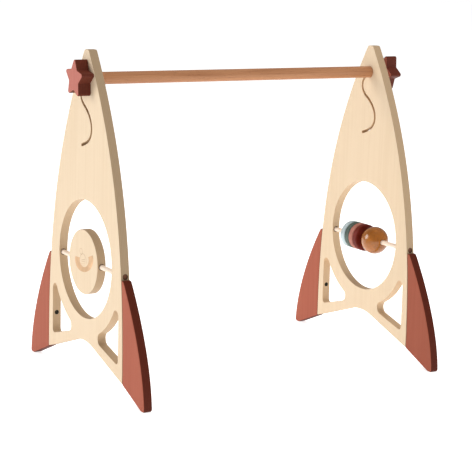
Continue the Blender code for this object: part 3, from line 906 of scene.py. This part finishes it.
def build_bead(label, body, finish):
    """Turned disc with rounded rims, bored along its axis."""
    at = middle(label)
    radius = size(label).x / 2
    half = size(label).y / 2
    quarter = math.pi / 2
    rim = BEAD_ROUND
    bore = BEAD_BORE_ROUND
    profile = arc((BEAD_BORE_R + bore, bore - half), bore, -2 * quarter, -quarter, 3)
    profile += arc((radius - rim, rim - half), rim, -quarter, 0.0, 7)
    profile += arc((radius - rim, half - rim), rim, 0.0, quarter, 7)
    profile += arc((BEAD_BORE_R + bore, half - bore), bore, quarter, 2 * quarter, 3)
    bead = place(label + "_turned", turned(label, profile, 96, closed=True), at, TURN_Y)
    finish_piece(bead, body, label, finish)


def build_ball(finish):
    at = middle("ochre_ball")
    radius = size("ochre_ball").x / 2
    lip = math.asin(BEAD_BORE_R / radius) + BALL_LIP
    bore_end = radius * math.cos(lip) - BALL_LIP_DEPTH
    profile = [(BEAD_BORE_R, bore_end)]
    profile += [(r, z) for z, r in arc((0.0, 0.0), radius, lip, math.pi - lip, 56)]
    profile += [(BEAD_BORE_R, -bore_end)]
    ball = place("ochre_ball_turned", turned("ochre_ball", profile, 112, closed=True), at, TURN_Y)
    finish_piece(ball, "ball", "ochre_ball", finish)


def build_hidden(dowel_finish, insert_finish):
    """The pieces inside the joints keep their CAD shape."""
    for label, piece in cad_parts.items():
        if "dowel" in label or "insert" in label:
            piece.data.materials.clear()
            piece.data.materials.append(dowel_finish if "dowel" in label else insert_finish)


def plate_finishes():
    """Ply and stained plates: face, its grain, edge and its grain."""
    birch = ((0.755, 0.60, 0.42), (0.705, 0.545, 0.365))
    stained_edge = ((0.115, 0.021, 0.010), (0.088, 0.015, 0.007))
    matt = {"roughness": 0.6, "specular": 0.12}
    return {
        # The plywood edge tones are darker than the faces partly for end grain and partly as
        # painted shade. The left panel's edges are painted darker as shade and the right panel's
        # lighter as painted light, though both are the same birch ply.
        "left_ply": plate_material("birch_ply_knotted", *birch, (0.435, 0.31, 0.195),
                                   (0.40, 0.28, 0.165), 1.5, bore_y=AXLE_Z, knot=KNOT_AT),
        "right_ply": plate_material("birch_ply", *birch, (0.53, 0.375, 0.235),
                                    (0.485, 0.34, 0.20), 0.0, bore_y=AXLE_Z),
        "disc_ply": plate_material("birch_ply_disc", *birch, (0.50, 0.355, 0.22),
                                   (0.46, 0.32, 0.19), 4.5, bore_y=0.0),
        "terracotta": plate_material("terracotta_stain", (0.395, 0.112, 0.067),
                                     (0.350, 0.093, 0.056), *stained_edge, 3.0, **matt),
        # Same terracotta stain, painted darker as shade for the fin that gets less light
        "shaded_terracotta": plate_material("terracotta_stain_shaded", (0.345, 0.096, 0.056),
                                          (0.305, 0.080, 0.046), *stained_edge, 8.0, **matt),
        "star": plate_material("star_stain", (0.50, 0.17, 0.130), (0.43, 0.13, 0.10),
                               (0.145, 0.030, 0.016), (0.100, 0.020, 0.010), 7.0, grain=0.6,
                               specular=0.15),
    }


def wood_finishes():
    """Turned wood: its tone, its grain and the axis the grain follows (1 is Y, 2 is Z)."""
    return {
        "beech": turned_wood("beech_oiled", (0.52, 0.245, 0.118), (0.39, 0.165, 0.073), 2, 1.0),
        "axle": turned_wood("axle_wood", (0.92, 0.78, 0.65), (0.80, 0.62, 0.48), 2, 5.0,
                            flecks=0.2),
        "plug": turned_wood("plug_dark", (0.19, 0.070, 0.032), (0.11, 0.040, 0.020), 2, 4.0,
                            roughness=0.6),
        "dowel": turned_wood("dowel_wood", (0.70, 0.48, 0.29), (0.55, 0.35, 0.20), 1, 2.0,
                             roughness=0.7),
    }


def paint_finishes():
    return {
        "blue": paint("blue_paint", (0.50, 0.60, 0.63), 0.5, 0.0, 0.15),
        "green": paint("green_paint", (0.085, 0.120, 0.102), 0.5, 1.0, 0.15),
        "pink": paint("pink_paint", (0.46, 0.18, 0.135), 0.5, 2.0, 0.15),
        "red": paint("red_paint", (0.15, 0.013, 0.005), 0.5, 3.0, 0.15),
        "ochre": paint("ochre_gloss", (0.37, 0.113, 0.004), 0.24, 9.0, 0.5, coat=0.7,
                       specular=0.3),
        "motif": paint("motif_tan", (0.74, 0.47, 0.27), 0.6, 2.0, 0.4),
        "line": paint("motif_line", (0.66, 0.47, 0.30), 0.6, 3.0, 0.4),
    }


def metal_finishes():
    return {
        "steel": metal("zinc_steel", (0.50, 0.48, 0.45), 0.38, 0.0),
        "black_steel": metal("black_steel", (0.055, 0.050, 0.038), 0.5, 6.0),
        "brass": metal("insert_brass", (0.62, 0.43, 0.17), 0.35, 3.0),
    }


def build_gym():
    finish = plate_finishes() | wood_finishes() | paint_finishes() | metal_finishes()
    for name, side in SIDES.items():
        build_panel(name, side, finish[name + "_ply"])
        for edge_name, edge in EDGES.items():
            # One fin gets the terracotta painted darker as shade
            shaded_fin = (name, edge_name) == SHADED_FIN
            build_fin(name, edge_name, edge, finish["shaded_terracotta" if shaded_fin else "terracotta"])
            build_screw(name, edge_name, edge, finish["black_steel"])
        build_stud(name, side, finish["steel"])
        build_rod(name + "_axle", name + "_spindle", finish["axle"])
        build_rod(name + "_axle_plug", "frame", finish["plug"])
    for name, side in SIDES.items():
        build_knob(name, side, KNOB_TURNS[name], finish["star"])
    build_crossbar(finish["beech"])
    build_spinner(finish["disc_ply"], finish["motif"], finish["line"])
    for name in ("blue", "green", "pink", "red"):
        build_bead(name + "_bead", name, finish[name])
    build_ball(finish["ochre"])
    build_hidden(finish["dowel"], finish["brass"])


# ---------------------------------------------------------------- stage

def aim(yaw, pitch, roll):
    """Camera axes from a heading right of +Y, a pitch above level and a roll, in degrees."""
    yaw, pitch, roll = (math.radians(value) for value in (yaw, pitch, roll))
    forward = Vector((math.sin(yaw) * math.cos(pitch), math.cos(yaw) * math.cos(pitch),
                      math.sin(pitch)))
    right = Vector((math.cos(yaw), -math.sin(yaw), 0.0))
    up = right.cross(forward)
    across = right * math.cos(roll) + up * math.sin(roll)
    top = -right * math.sin(roll) + up * math.cos(roll)
    return Matrix((across, top, -forward)).transposed()


def build_camera():
    camera = bpy.data.cameras.new("camera")
    camera.lens = CAMERA_LENS
    camera.clip_end = 200.0
    holder = bpy.data.objects.new("camera", camera)
    bpy.context.scene.collection.objects.link(holder)
    holder.matrix_world = (Matrix.Translation(CAMERA_AT)
                           @ aim(CAMERA_YAW, CAMERA_PITCH, CAMERA_ROLL).to_4x4())
    bpy.context.scene.camera = holder


def build_floor():
    """White floor just under the feet, bright enough to pass for a studio sweep."""
    bm = bmesh.new()
    bmesh.ops.create_grid(bm, x_segments=1, y_segments=1, size=FLOOR_HALF)
    floor = place("floor", mesh_from("floor", bm), (0, 0, FLOOR_Z))
    made, tree, shader = blank("floor", 0.9, specular=0.1)
    at = node(tree, "TexCoord").outputs["Object"]
    tone = noise(tree, at, (2.0, 2.0, 2.0), 3.0)
    tree.links.new(blend(tree, tone, (0.93, 0.93, 0.93), (0.95, 0.95, 0.95)),
                   shader.inputs["Base Color"])
    shader.inputs["Emission Color"].default_value = (1.0, 1.0, 1.0, 1.0)
    shader.inputs["Emission Strength"].default_value = FLOOR_GLOW
    floor.data.materials.append(made)


def build_world():
    world = bpy.data.worlds.new("studio")
    world.use_nodes = True
    background = world.node_tree.nodes["Background"]
    background.inputs["Color"].default_value = (1.0, 1.0, 1.0, 1.0)
    background.inputs["Strength"].default_value = WORLD_STRENGTH
    bpy.context.scene.world = world
    bpy.context.scene.view_settings.view_transform = "Standard"


def area_light(name, at, target, width, power, colour=(1.0, 1.0, 1.0), mirrored_in_gloss=True):
    light = bpy.data.lights.new(name, "AREA")
    light.size = width
    light.energy = power
    light.color = colour
    holder = bpy.data.objects.new(name, light)
    bpy.context.scene.collection.objects.link(holder)
    holder.visible_glossy = mirrored_in_gloss
    holder.location = at
    holder.rotation_euler = (Vector(target) - Vector(at)).to_track_quat("-Z", "Y").to_euler()


def build_lights():
    """Soft key from the left and behind, a weak top light and a touch of fill in front."""
    area_light("key", (-9.4, 5.6, 4.6), (0.0, 0.0, 0.25), 5.5, 625.0, (1.0, 0.98, 0.96))
    area_light("top", (0.6, -0.4, 4.5), (0.0, 0.0, 0.2), 2.5, 100.0, mirrored_in_gloss=False)
    area_light("front_fill", (2.2, -1.8, 1.5), (0.3, 0.0, 0.3), 1.2, 7.0,
               mirrored_in_gloss=False)


build_gym()
build_floor()
build_world()
build_lights()
build_camera()
bpy.context.view_layer.update()
